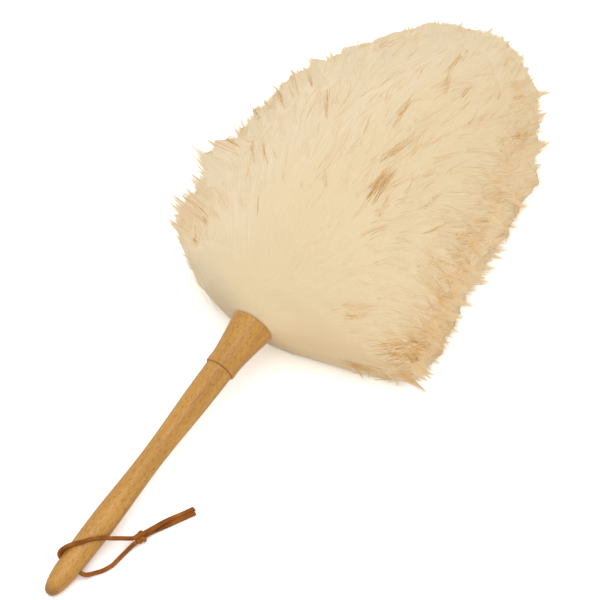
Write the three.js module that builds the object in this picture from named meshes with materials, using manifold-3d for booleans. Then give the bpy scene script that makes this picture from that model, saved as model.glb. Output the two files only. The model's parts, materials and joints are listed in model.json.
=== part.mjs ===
// A lambswool duster: a turned beech handle with a leather hanging thong, a flared collar, and a long
// lambskin pile wound round a wooden core. Millimetres, +Z up, lying on a floor at Z = 0 with the butt
// towards -X and the wool towards +X.

import * as THREE from 'three';
import { mergeVertices } from 'three/addons/utils/BufferGeometryUtils.js';
import Module from 'manifold-3d';

const wasm = await Module();
wasm.setup();

// How it lies
const restAngle = THREE.MathUtils.degToRad(9); // rise of the handle's axis from the butt to the wool

// Fits
const glueGap = 0.3; // glued, tacked or threaded neighbours stand this far apart
const threadGap = 0.3; // the thong's ends stand this far from the knot

// Handle, measured from its butt along the axis
const handleLength = 189;
const buttFlatDiameter = 3.4;
const buttLength = 24; // rounded end
const buttDiameter = 16.2; // where the rounding ends
const gripDiameter = 17.7;
const gripStation = 60;
const waistDiameter = 15.4;
const waistStation = 112;
const shoulderDiameter = 18.5;
const shoulderStation = 160;
const handleTopDiameter = 19.7;
const spigotDiameter = 12;
const spigotLength = 16;
const spigotChamfer = 0.8;
const hangHoleStation = 23.4;
const hangHoleDiameter = 4.6;
const hangHoleChamfer = 0.6;
const hangHoleRoll = THREE.MathUtils.degToRad(20); // turns the hole's left mouth up, about the axis

// Collar, measured from its lower face
const collarLength = 39.6;
const collarBaseDiameter = 22.1;
const collarBaseChamfer = 0.6;
const collarNeckDiameter = 22.9;
const collarNeckStation = 13;
const collarRimDiameter = 30.6;
const collarRimRounding = 0.9;
const coreSocketDepth = 12; // under the recess for the skin
const skinRecessDepth = 8;

// Head core and the skin wound on it
const coreDiameter = 14;
const coreReach = 196; // beyond the collar's rim
const skinThickness = 1.8;
const stripWidth = 24; // along the axis
const stripTurnGap = 0.8; // between neighbouring turns
const tipCapSkirt = 10;

// Tacks
const tackHeadDiameter = 5;
const tackHeadHeight = 1.1;
const tackShankDiameter = 1.5;
const tackShankLength = 7;
const tackPointLength = 2;
const firstTackTurn = 2; // turns of the strip from the collar to its first tack
const lastTackTurn = 0.25; // share of a turn from its last tack to its last whole turn

// Wool, measured from the collar's rim along the axis, and across it
const woolLength = 318.5;
const woolFlankStation = 18;
const woolFlankWidth = 128;
const woolShoulderStation = 38;
const woolShoulderWidth = 197;
const woolMiddleStation = 120;
const woolMiddleWidth = 197.5;
const woolCrestStation = 196;
const woolCrestWidth = 181;
const woolTaperStation = 248;
const woolTaperWidth = 143;
const woolEndStation = 292;
const woolEndWidth = 83;
const woolFlankDrift = 6; // the pile lies this far to the left, towards +Y, at its flank
const woolShoulderDrift = -8; // at its shoulder
const woolTipDrift = 3.5; // and at its tip
const woolRiseRatio = 0.85; // height of the pile above its middle, to its half width
const woolBackRise = 20; // the pile's back starts this high over its middle at the rim
const woolBackSlope = 1; // and climbs this steeply to the crown
const woolCrownPower = 4; // a higher power rounds the back over into the crown more tightly
const woolSquatPower = 0.25; // squares the lower half of the pile's section; 1 leaves it round
const woolTipHeight = 28; // middle of the tip above the floor
const woolPress = 6; // how far the floor presses the pile flat
const lockRise = 8; // how far a lock's tip stands out
const lockColumns = 44;
const lockRows = 7; // locks from the collar to the tip
const rowsPerLock = 4;

// Thong
const thongDiameter = 2.8;
const knotLength = 7;
const knotDiameter = 9.5;
const knotWraps = 2;
const knotWrapDepth = 0.8;
const knotTurn = THREE.MathUtils.degToRad(-20.5); // about Z, from +X to the way the tails leave

// Facets
const turnedSegments = 40;
const hiddenSegments = 24;
const smallSegments = 16;
const thongSides = 8;
const thongStepLength = 3.4;
const stripStepsPerTurn = 20;
const handleSteps = 20; // along the turned outline
const collarSteps = 12;
const roundedSteps = 6; // along a quarter round
const wrapSteps = 6; // along one wrap of the knot
const weldDistance = 1e-4;

// Derived sizes
const spigotSocketDiameter = spigotDiameter + 2 * glueGap;
const coreSocketDiameter = coreDiameter + 2 * glueGap;
const skinInnerRadius = coreDiameter / 2 + glueGap;
const skinOuterRadius = skinInnerRadius + skinThickness;
const skinBoreRadius = skinOuterRadius + glueGap;
const collarStation = handleLength + glueGap;
const rimStation = collarStation + collarLength;
const coreStart = rimStation - skinRecessDepth - coreSocketDepth + glueGap;
const coreEnd = rimStation + coreReach;
const woolStart = rimStation + glueGap;
const stripPitch = stripWidth + stripTurnGap;
const stripStart = rimStation - skinRecessDepth + glueGap;
const tipCapStart = coreEnd - coreDiameter / 2 - tipCapSkirt;
const stripEnd = tipCapStart - stripTurnGap;
const wood = { color: 0xc99c5a, roughness: 0.55, metalness: 0 };
const darkWood = { color: 0xb98e54, roughness: 0.7, metalness: 0 };
const skin = { color: 0xd9c3a0, roughness: 0.8, metalness: 0 };
const steel = { color: 0x9a9a96, roughness: 0.4, metalness: 0.9 };
const wool = { color: 0xe8d6b2, roughness: 1, metalness: 0 };
const leather = { color: 0x97592a, roughness: 0.75, metalness: 0 };

// Solids

// A geometry with shared vertices, only positions, and no triangle that has lost an edge.
function bare(geometry) {
  const copy = geometry.clone();
  copy.deleteAttribute('normal');
  copy.deleteAttribute('uv');
  const merged = mergeVertices(copy, weldDistance);
  const old = merged.index.array;
  const kept = [];
  for (let i = 0; i < old.length; i += 3) {
    const [a, b, c] = [old[i], old[i + 1], old[i + 2]];
    if (a !== b && b !== c && c !== a) kept.push(a, b, c);
  }
  merged.setIndex(kept);
  return merged;
}

function toSolid(geometry) {
  const shared = bare(geometry);
  const vertProperties = new Float32Array(shared.attributes.position.array);
  const triVerts = new Uint32Array(shared.index.array);
  return new wasm.Manifold(new wasm.Mesh({ numProp: 3, vertProperties, triVerts }));
}

function toGeometry(solid) {
  const { vertProperties, triVerts } = solid.getMesh();
  const geometry = new THREE.BufferGeometry();
  geometry.setAttribute('position', new THREE.BufferAttribute(vertProperties, 3));
  geometry.setIndex(Array.from(triVerts));
  return geometry;
}

// Cuts each of the other geometries out of the first one.
function cut(geometry, ...cutters) {
  const solid = cutters.reduce((left, cutter) => left.subtract(toSolid(cutter)), toSolid(geometry));
  return toGeometry(solid);
}

function common(first, second) {
  return toGeometry(toSolid(first).intersect(toSolid(second)));
}

// A piece turned about +X. The profile's points are (station, radius), from the axis and back to it.
function turned(profile, segments = turnedSegments) {
  const points = profile.map(([station, radius]) => new THREE.Vector2(radius, station));
  return new THREE.LatheGeometry(points, segments).rotateZ(-Math.PI / 2);
}

// A closed solid through rings of equal length, each a list of Vector3, with a fan over both ends.
function lofted(rings) {
  const count = rings[0].length;
  const middle = (ring) => ring.reduce((sum, p) => sum.add(p), new THREE.Vector3()).divideScalar(count);
  const points = [...rings.flat(), middle(rings[0]), middle(rings.at(-1))];
  const first = rings.length * count;
  const faces = [];
  for (let j = 0; j < count; j++) {
    const next = (j + 1) % count;
    faces.push(first, next, j);
    const end = (rings.length - 1) * count;
    faces.push(first + 1, end + j, end + next);
    for (let i = 0; i + 1 < rings.length; i++) {
      const [a, b] = [i * count + j, i * count + next];
      faces.push(a, b, b + count, a, b + count, a + count);
    }
  }
  const geometry = new THREE.BufferGeometry().setFromPoints(points);
  geometry.setIndex(faces);
  return geometry;
}

// A quarter of an ellipse from (stationA, radiusA) to (stationB, radiusB), leaving radiusA across the axis.
function quarterRound(stationA, radiusA, stationB, radiusB) {
  return Array.from({ length: roundedSteps + 1 }, (_, i) => {
    const angle = (i / roundedSteps) * (Math.PI / 2);
    const along = 1 - Math.cos(angle);
    return [stationA + (stationB - stationA) * along, radiusA + (radiusB - radiusA) * Math.sin(angle)];
  });
}

// Points on a smooth line through the knots, without the first one.
function smooth(knots, steps) {
  const curve = new THREE.SplineCurve(knots.map(([station, radius]) => new THREE.Vector2(station, radius)));
  return curve.getPoints(steps).slice(1).map((p) => [p.x, p.y]);
}

function piece(name, geometry, look) {
  const mesh = new THREE.Mesh(bare(geometry), new THREE.MeshStandardMaterial(look));
  mesh.name = name;
  return mesh;
}

// Handle

const handleOutline = [
  ...quarterRound(0, buttFlatDiameter / 2, buttLength, buttDiameter / 2),
  ...smooth([
    [buttLength, buttDiameter / 2],
    [gripStation, gripDiameter / 2],
    [waistStation, waistDiameter / 2],
    [shoulderStation, shoulderDiameter / 2],
    [handleLength, handleTopDiameter / 2],
  ], handleSteps),
];

// The hole through the handle for the thong, with both mouths opened out.
function hangHole() {
  const reach = gripDiameter;
  const bore = hangHoleDiameter / 2;
  const mouth = buttDiameter / 2 - hangHoleChamfer;
  const flare = bore + (reach - mouth);
  const profile = [[-reach, 0], [-reach, flare], [-mouth, bore], [mouth, bore], [reach, flare], [reach, 0]];
  const hole = turned(profile, smallSegments).rotateZ(Math.PI / 2).rotateX(hangHoleRoll);
  return hole.translate(hangHoleStation, 0, 0);
}

function handle() {
  const spigotEnd = handleLength + spigotLength;
  const profile = [
    [0, 0],
    ...handleOutline,
    [handleLength, spigotDiameter / 2],
    [spigotEnd - spigotChamfer, spigotDiameter / 2],
    [spigotEnd, spigotDiameter / 2 - spigotChamfer],
    [spigotEnd, 0],
  ];
  return piece('handle', cut(turned(profile), hangHole()), wood);
}

// Collar

function collar() {
  const socketEnd = spigotLength + 2 * glueGap;
  const recessFloor = collarLength - skinRecessDepth;
  const rim = collarRimDiameter / 2;
  const outside = smooth([
    [collarBaseChamfer, collarBaseDiameter / 2],
    [collarNeckStation, collarNeckDiameter / 2],
    [collarLength - collarRimRounding, rim],
  ], collarSteps);
  const profile = [
    [socketEnd, 0],
    [socketEnd, spigotSocketDiameter / 2],
    [0, spigotSocketDiameter / 2],
    [0, collarBaseDiameter / 2 - collarBaseChamfer],
    [collarBaseChamfer, collarBaseDiameter / 2],
    ...outside,
    [collarLength - collarRimRounding / 3, rim - collarRimRounding / 3],
    [collarLength, rim - collarRimRounding],
    [collarLength, skinBoreRadius],
    [recessFloor, skinBoreRadius],
    [recessFloor, coreSocketDiameter / 2],
    [recessFloor - coreSocketDepth, coreSocketDiameter / 2],
    [recessFloor - coreSocketDepth, 0],
  ];
  const mesh = piece('collar', turned(profile), wood);
  mesh.position.x = collarStation;
  return mesh;
}

// Tacks, each with its point along -Z and the underside of its head at Z = 0

function tackShape(grown = 0) {
  const head = tackHeadDiameter / 2 + grown;
  const shank = tackShankDiameter / 2 + grown;
  const profile = [
    [-tackShankLength - grown, 0],
    [tackPointLength - tackShankLength - grown, shank],
    [-grown, shank],
    [-grown, head],
    [tackHeadHeight / 2, head],
    [tackHeadHeight + grown, head / 2],
    [tackHeadHeight + grown, 0],
  ];
  return turned(profile, smallSegments).rotateY(-Math.PI / 2);
}

// Where a tack stands that goes through the middle of the strip, so many turns on from the collar.
function stripTackPlace(turns) {
  const turn = turns * 2 * Math.PI;
  const place = new THREE.Matrix4().makeRotationX(-turn);
  const out = new THREE.Matrix4().makeTranslation(
    stripStart + stripPitch * turns - stripWidth / 2,
    0,
    skinOuterRadius + glueGap,
  );
  return place.multiply(out);
}

const stripTurns = (stripEnd - stripStart) / stripPitch;
const tackPlaces = {
  strip_tack_collar_end: stripTackPlace(firstTackTurn),
  strip_tack_tip_end: stripTackPlace(Math.floor(stripTurns) - lastTackTurn),
  tip_cap_tack: new THREE.Matrix4()
    .makeTranslation(coreEnd + 2 * glueGap + skinThickness, 0, 0)
    .multiply(new THREE.Matrix4().makeRotationY(Math.PI / 2)),
};
const tackRooms = Object.values(tackPlaces).map((place) => tackShape(glueGap).applyMatrix4(place));

function tacks() {
  const tack = ([name, place]) => piece(name, tackShape().applyMatrix4(place), steel);
  return Object.entries(tackPlaces).map(tack);
}

// Head core

function headCore() {
  const radius = coreDiameter / 2;
  const dome = quarterRound(coreEnd, 0, coreEnd - radius, radius).reverse();
  const profile = [[coreStart, 0], [coreStart, radius], ...dome];
  return piece('head_core', cut(turned(profile, hiddenSegments), ...tackRooms), darkWood);
}

// Lambskin strip, wound on the core and trimmed square at both ends

function skinStrip() {
  const steps = Math.ceil((stripTurns + 1) * stripStepsPerTurn);
  const rings = Array.from({ length: steps + 1 }, (_, i) => {
    const turns = i / stripStepsPerTurn;
    const angle = -turns * 2 * Math.PI;
    const low = stripStart + stripPitch * (turns - 1);
    const high = low + stripWidth;
    const out = new THREE.Vector3(0, -Math.sin(angle), Math.cos(angle));
    const at = (station, radius) => new THREE.Vector3(station, 0, 0).addScaledVector(out, radius);
    return [
      at(low, skinInnerRadius),
      at(low, skinOuterRadius),
      at(high, skinOuterRadius),
      at(high, skinInnerRadius),
    ];
  });
  const around = 2 * skinOuterRadius;
  const length = [[stripStart, 0], [stripStart, around], [stripEnd, around], [stripEnd, 0]];
  const room = turned(length, smallSegments);
  return piece('skin_strip', cut(common(lofted(rings), room), ...tackRooms), skin);
}

// Round patch of skin over the end of the core

function domed(radius, end, start) {
  return [[start, radius], ...quarterRound(end, 0, end - radius, radius).reverse()];
}

function tipCap() {
  const centre = coreEnd - coreDiameter / 2;
  const inner = domed(skinInnerRadius, centre + skinInnerRadius, tipCapStart);
  const outer = domed(skinOuterRadius, centre + skinOuterRadius, tipCapStart);
  const profile = [...inner.reverse(), ...outer];
  return piece('skin_tip_cap', cut(turned(profile, hiddenSegments), ...tackRooms), skin);
}

// Wool

const woolOutline = new THREE.CatmullRomCurve3([
  [0, collarRimDiameter - 2 * collarRimRounding, 0],
  [woolFlankStation, woolFlankWidth, woolFlankDrift],
  [woolShoulderStation, woolShoulderWidth, woolShoulderDrift],
  [woolMiddleStation, woolMiddleWidth, (woolShoulderDrift + woolTipDrift) / 2],
  [woolCrestStation, woolCrestWidth, woolTipDrift],
  [woolTaperStation, woolTaperWidth, woolTipDrift],
  [woolEndStation, woolEndWidth, woolTipDrift],
  [woolLength, 0, woolTipDrift],
].map(([station, width, drift]) => new THREE.Vector3(station, width / 2, drift)));

// The height of the axis over the floor at the butt, so that the rounded butt just touches the floor.
const buttLift = Math.max(
  ...handleOutline.map(([station, radius]) => radius * Math.cos(restAngle) - station * Math.sin(restAngle)),
);
const axisHeight = (station) => buttLift + station * Math.sin(restAngle);

// One ring of the pile, square to the axis. Locks rise along the pile and end in steps, every second
// column half a lock further on, and the floor presses the underside flat and wide.
function woolRing(row, rows) {
  const along = woolOutline.getPointAt(row / rows);
  const station = woolStart + along.x;
  const share = along.x / woolLength;
  const fullness = THREE.MathUtils.smoothstep(along.x, 0, woolShoulderStation);
  const height = THREE.MathUtils.lerp(axisHeight(woolStart), woolTipHeight, share);
  const sag = (height - axisHeight(station)) / Math.cos(restAngle);
  const floor = -axisHeight(station) / Math.cos(restAngle);
  const crown = along.y * THREE.MathUtils.lerp(1, woolRiseRatio, fullness);
  const back = woolBackRise + woolBackSlope * along.x;
  const rise = (crown ** -woolCrownPower + back ** -woolCrownPower) ** (-1 / woolCrownPower);
  const depth = Math.min(crown, sag - floor + woolPress);
  const squat = THREE.MathUtils.lerp(1, woolSquatPower, fullness);
  return Array.from({ length: lockColumns }, (_, column) => {
    const angle = (column / lockColumns) * 2 * Math.PI;
    const upper = Math.sin(angle) > 0;
    const phase = ((row + (column % 2) * (rowsPerLock / 2)) % rowsPerLock) / rowsPerLock;
    const out = 1 + (lockRise * phase * fullness) / Math.max(along.y, lockRise);
    const wide = Math.sign(Math.cos(angle)) * Math.abs(Math.cos(angle)) ** (upper ? 1 : squat);
    const up = Math.sin(angle) * (upper ? rise : depth) * out;
    return new THREE.Vector3(station, along.z + wide * along.y * out, Math.max(sag + up, floor));
  });
}

function woolPile() {
  const rows = lockRows * rowsPerLock;
  const pile = lofted(Array.from({ length: rows }, (_, row) => woolRing(row, rows)));
  const centre = coreEnd - coreDiameter / 2;
  const dome = domed(skinBoreRadius, centre + skinBoreRadius, woolStart - glueGap);
  const bore = turned([[woolStart - glueGap, 0], ...dome], hiddenSegments);
  return piece('wool_pile', cut(pile, bore, ...tackRooms), wool);
}

// Thong, from the middle of the hang hole, with X along the floor, Y to the left and Z up. The first strand
// leaves the left mouth and crosses over the handle, the second leaves the right mouth and lies on the floor.

const overStrand = [
  [0, 0.2, 0.1], [-0.3, 4.5, 1.6], [0, 7.4, 3.2], [1, 8.6, 5], [2.7, 8.3, 6.8], [5.2, 6.8, 8.8],
  [7.7, 4.7, 10.5], [10.4, 1.8, 11.9], [13.2, -1.1, 12.5], [17, -3.7, 12.4], [21, -6.8, 11.2],
  [25.3, -9.6, 8.3], [29.7, -12.6, 4.5], [34.2, -15.4, 0.9], [37.9, -18.1, -1.9], [40.6, -20.2, -3.4],
];
const sideStrand = [
  [0, -0.2, -0.1], [0.3, -4.7, -1.7], [0.5, -7.9, -2.9], [1.1, -9.8, -3.9], [2.6, -11.2, -5.1],
  [4.8, -12.4, -6.3], [7.4, -13.8, -7.2], [11, -16.3, -7.4], [14.4, -18, -7.4], [18.5, -19.4, -7.4],
  [23.7, -19.9, -7.4], [28.8, -20.4, -7.2], [33.4, -21.1, -6.5], [37, -22, -5.4], [39.9, -23.1, -4.6],
];
const longTail = [
  [48.3, -24.2, -2.7], [55.7, -26.4, -4], [62.7, -28.3, -5.6], [69.9, -31.1, -7.1], [76.4, -34.5, -7.4],
  [82.7, -37.6, -7.4],
];
const shortTail = [
  [48.3, -24.4, -5.7], [54.9, -26.8, -7], [60.7, -29.8, -7.4], [67.1, -33.1, -7.4], [73.6, -36.4, -7.4],
  [80.4, -40, -7.4],
];
const knotPlace = [44.5, -22.8, -4.1];

function thongStretch(name, points) {
  const corner = (_, i) => {
    const angle = ((i + 0.5) / thongSides) * 2 * Math.PI;
    return new THREE.Vector2(Math.cos(angle), Math.sin(angle)).multiplyScalar(thongDiameter / 2);
  };
  const section = new THREE.Shape(Array.from({ length: thongSides }, corner));
  const extrudePath = new THREE.CatmullRomCurve3(points.map((p) => new THREE.Vector3(...p)));
  const steps = Math.round(extrudePath.getLength() / thongStepLength);
  return piece(name, new THREE.ExtrudeGeometry(section, { steps, extrudePath }), leather);
}

function thongKnot() {
  const steps = knotWraps * wrapSteps;
  const profile = Array.from({ length: steps + 1 }, (_, i) => {
    const wrap = Math.abs(Math.sin((i / wrapSteps) * Math.PI));
    return [(i / steps - 0.5) * knotLength, knotDiameter / 2 - knotWrapDepth * (1 - wrap)];
  });
  const end = knotLength / 2;
  const mesh = piece('thong_knot', turned([[-end, 0], ...profile, [end, 0]], smallSegments), leather);
  mesh.position.set(...knotPlace);
  mesh.rotation.z = knotTurn;
  return mesh;
}

// The whole duster, laid down with its butt and its pile on the floor and centred over the origin

const wooden = new THREE.Group();
wooden.add(handle(), collar(), headCore(), skinStrip(), tipCap(), ...tacks(), woolPile());
wooden.rotation.y = -restAngle;
wooden.position.z = buttLift;

const thong = new THREE.Group();
thong.add(
  thongStretch('thong_over_strand', overStrand),
  thongStretch('thong_side_strand', sideStrand),
  thongKnot(),
  thongStretch('thong_tail_long', longTail),
  thongStretch('thong_tail_short', shortTail),
);
thong.position.set(hangHoleStation * Math.cos(restAngle), 0, axisHeight(hangHoleStation));

const duster = new THREE.Group();
duster.add(wooden, thong);
const middle = new THREE.Box3().setFromObject(wooden, true).getCenter(new THREE.Vector3());
duster.position.set(-middle.x, -middle.y, 0);

export default duster;
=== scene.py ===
import json
import math

import bpy
import numpy as np
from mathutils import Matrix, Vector


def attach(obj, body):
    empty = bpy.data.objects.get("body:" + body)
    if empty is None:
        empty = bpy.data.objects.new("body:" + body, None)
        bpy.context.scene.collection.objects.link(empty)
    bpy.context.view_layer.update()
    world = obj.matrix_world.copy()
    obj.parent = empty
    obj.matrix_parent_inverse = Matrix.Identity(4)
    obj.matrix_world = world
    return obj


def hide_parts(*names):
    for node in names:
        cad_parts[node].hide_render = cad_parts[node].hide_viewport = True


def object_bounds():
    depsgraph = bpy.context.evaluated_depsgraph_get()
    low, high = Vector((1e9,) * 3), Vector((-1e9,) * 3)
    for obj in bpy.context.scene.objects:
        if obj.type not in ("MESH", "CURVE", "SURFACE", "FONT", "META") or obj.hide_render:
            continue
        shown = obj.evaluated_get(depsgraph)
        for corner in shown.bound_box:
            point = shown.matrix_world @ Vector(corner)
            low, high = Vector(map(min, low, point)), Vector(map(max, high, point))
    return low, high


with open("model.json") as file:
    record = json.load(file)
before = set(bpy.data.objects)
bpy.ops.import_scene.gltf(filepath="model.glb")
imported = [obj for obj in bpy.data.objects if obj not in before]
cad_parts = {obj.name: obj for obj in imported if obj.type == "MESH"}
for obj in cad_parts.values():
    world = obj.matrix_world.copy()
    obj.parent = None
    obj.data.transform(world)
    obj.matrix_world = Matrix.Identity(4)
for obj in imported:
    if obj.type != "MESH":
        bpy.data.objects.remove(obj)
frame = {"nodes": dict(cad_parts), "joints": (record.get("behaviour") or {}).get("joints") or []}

cad_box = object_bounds()
scene = bpy.context.scene
scene.view_settings.view_transform = "Standard"

# How the duster lies, in metres and radians: the handle's axis climbs from the butt to the wool.
REST_ANGLE = math.radians(9)
HOLE_STATION = 0.0234
RIM_STATION = 0.2289
HOLE = np.array(frame["joints"][0]["pos_m"])
ALONG = np.array([math.cos(REST_ANGLE), 0, math.sin(REST_ANGLE)])
ACROSS = np.array([0, 1.0, 0])
ABOVE = np.array([-math.sin(REST_ANGLE), 0, math.cos(REST_ANGLE)])
RIM = HOLE + (RIM_STATION - HOLE_STATION) * ALONG
HOLE_WAY = -np.array(frame["joints"][0]["axis"])

# Camera, as the photograph was taken
CAMERA_AIM = Vector(HOLE + (0.2367, -0.0149, 0.0347))
CAMERA_TURN = math.radians(54.94)
CAMERA_ELEVATION = math.radians(54.5)
CAMERA_DISTANCE = 1.5
CAMERA_LENS = 132.2
CAMERA_SENSOR = 36
CAMERA_SIGHT = 20

# Light and floor, with the lamp's place from the camera's aim
KEY_RIGHT = 0.05
KEY_NEARER = 0.2
KEY_HEIGHT = 1.4
KEY_SIZE = 1.1
KEY_POWER = 6
SKY_LEVEL = 0.85
FLOOR_REACH = 4.0
FLOOR_TONE = 0.8
FLOOR_SEEN_TONE = 1.5

# Thong: routes from the middle of the hang hole in millimetres, widths and height as shares of its diameter
THONG_DIAMETER = 0.0028
LACE_SIDES = 14
LACE_SQUARENESS = 0.62
LACE_WIDTH = 1.04
LACE_HEIGHT = 0.9
LACE_FLOOR = 0.0001
TAIL_WIDTH = 1.12
TAIL_CUT = 0.25
TWIST_WIDTH = 0.4
TWIST_PLACE = 0.017
TWIST_REACH = 0.009
HOLE_MOUTH = 0.0082
OVER_STRAND = [
    (0, 0.2, 0.1), (-0.3, 4.5, 1.6), (0, 7.4, 3.2), (1, 8.6, 5), (2.7, 8.3, 6.8), (5.2, 6.8, 8.8),
    (7.7, 4.7, 10.5), (10.4, 1.8, 11.9), (13.2, -1.1, 12.5), (17, -3.7, 12.4), (21, -6.8, 11.2),
    (25.3, -9.6, 8.3), (29.7, -12.6, 4.5), (34.2, -15.4, 0.9), (37.9, -18.1, -1.9), (40.6, -20.2, -3.4),
]
SIDE_STRAND = [
    (0, -0.2, -0.1), (0.3, -4.7, -1.7), (0.5, -7.9, -2.9), (1.1, -9.8, -3.9), (2.6, -11.2, -5.1),
    (4.8, -12.4, -6.3), (7.4, -13.8, -7.2), (11, -16.3, -7.4), (14.4, -18, -7.4), (18.5, -19.4, -7.4),
    (23.7, -19.9, -7.4), (28.8, -20.4, -7.2), (33.4, -21.1, -6.5), (37, -22, -5.4), (39.9, -23.1, -4.6),
]
LONG_TAIL = [
    (48.3, -24.2, -2.7), (55.7, -26.4, -4), (62.7, -28.3, -5.6), (69.9, -31.1, -7.1), (76.4, -34.5, -7.4),
    (82.7, -37.6, -7.4),
]
SHORT_TAIL = [
    (48.3, -24.4, -5.7), (54.9, -26.8, -7), (60.7, -29.8, -7.4), (67.1, -33.1, -7.4), (73.6, -36.4, -7.4),
    (80.4, -40, -7.4),
]
KNOT_PLACE = np.array([0.0445, -0.0228, -0.0041])
KNOT_TURN = math.radians(-20.5)
KNOT_SCALE_ALONG = 0.00085
KNOT_SCALE_ASIDE = 0.0011
KNOT_SCALE_UP = 0.0021
KNOT_DROP = 0.0011

# Wool: its outline from the collar's rim, as stations along the axis, half widths and drift to the left
WOOL_OUTLINE = [
    (0.0003, 0.0144, 0), (0.011, 0.047, 0.008), (0.023, 0.077, -0.003), (0.038, 0.0985, -0.008),
    (0.12, 0.0975, 0.0005), (0.196, 0.0905, 0.0035), (0.248, 0.0715, 0.0035), (0.292, 0.0415, 0.0035),
    (0.3185, 0, 0.0035),
]
WOOL_LENGTH = WOOL_OUTLINE[-1][0]
WOOL_SHOULDER = 0.038
WOOL_RISE = 0.85
WOOL_BACK_RISE = 0.02
WOOL_BACK_SLOPE = 1.0
WOOL_BACK_BLEND = 4
WOOL_SQUAT = 0.25
WOOL_TIP_HEIGHT = 0.028
WOOL_TIP_START = 0.9
WOOL_PRESS = 0.006
WOOL_COAT = 0.001
WOOL_THIN_COAT = 0.012
WOOL_BORE = 0.0097
CORE_REACH = 0.196
FAN_POINT = np.array([-0.004, 0, 0])
FLEECE_DEPTH = 0.0008
FLEECE_SIDE_DEPTH = 0.0004
FLEECE_FLOOR = 0.0006

# Relief of the pile, with the shares of the outline over which it sets in
RELIEF_HEIGHT = 0.0009
RELIEF_START = (0.16, 0.42)
RIDGE_START = (0.12, 0.25)

# Lobes and notches of the edge: share along the outline, degrees around from the left, millimetres high
LOBES = [
    (0.158, 353, -7), (0.183, 12, -3), (0.278, 23, -9), (0.34, 26, 8), (0.363, 27, 5), (0.383, 29, 9),
    (0.407, 28, -7), (0.48, 28, 8), (0.503, 30, -9), (0.535, 36, 6), (0.573, 32, 7), (0.609, 42, 8),
    (0.635, 42, -13), (0.687, 40, -5), (0.713, 42, -8), (0.743, 44, -14), (0.767, 50, -10), (0.797, 53, 5),
    (0.826, 58, 7), (0.86, 65, 5), (0.885, 72, -9), (0.085, 342, 13), (0.105, 220, 14), (0.154, 225, 9),
    (0.213, 215, 7), (0.377, 191, -4), (0.4, 191, -3), (0.49, 182, -5), (0.547, 189, -4), (0.655, 184, 3),
    (0.68, 179, 7), (0.784, 173, -10), (0.813, 170, -6), (0.853, 162, 4),
]
LOBE_RADIUS = 0.009

# Ridges of locks across the pile's sides: count along the outline, slant and height
SIDE_RIDGES = [(11, 1.7, 0.0024), (19, -2.3, 0.0022), (31, 3.1, 0.002), (43, -1.2, 0.0012)]

# Strands: where they have points along their length, ranges of their radii, and the bend of their normals
STRAND_RINGS = 6
STEPS = np.linspace(0, 1, STRAND_RINGS + 1)
MIDDLE = STRAND_RINGS // 2
STRANDS_PER_PIECE = 5600
STRAND_FLOOR = 0.0003
COAT_RADIUS = (0.00018, 0.0003)
COAT_TUCK = 0.001
LOCK_RADIUS = (0.00014, 0.00024)
HAIR_RADIUS = (0.00007, 0.00013)
HAIR_LIFT = 0.0003 - 0.0016 * (1 - STEPS) ** 6
TONE_ROWS = 32
NORMAL_LIFT = 0.6
NORMAL_FLOOR = 0.3
STRAND_ROUNDNESS = 0.1
LOCK_ROUNDNESS = 1.6

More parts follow.
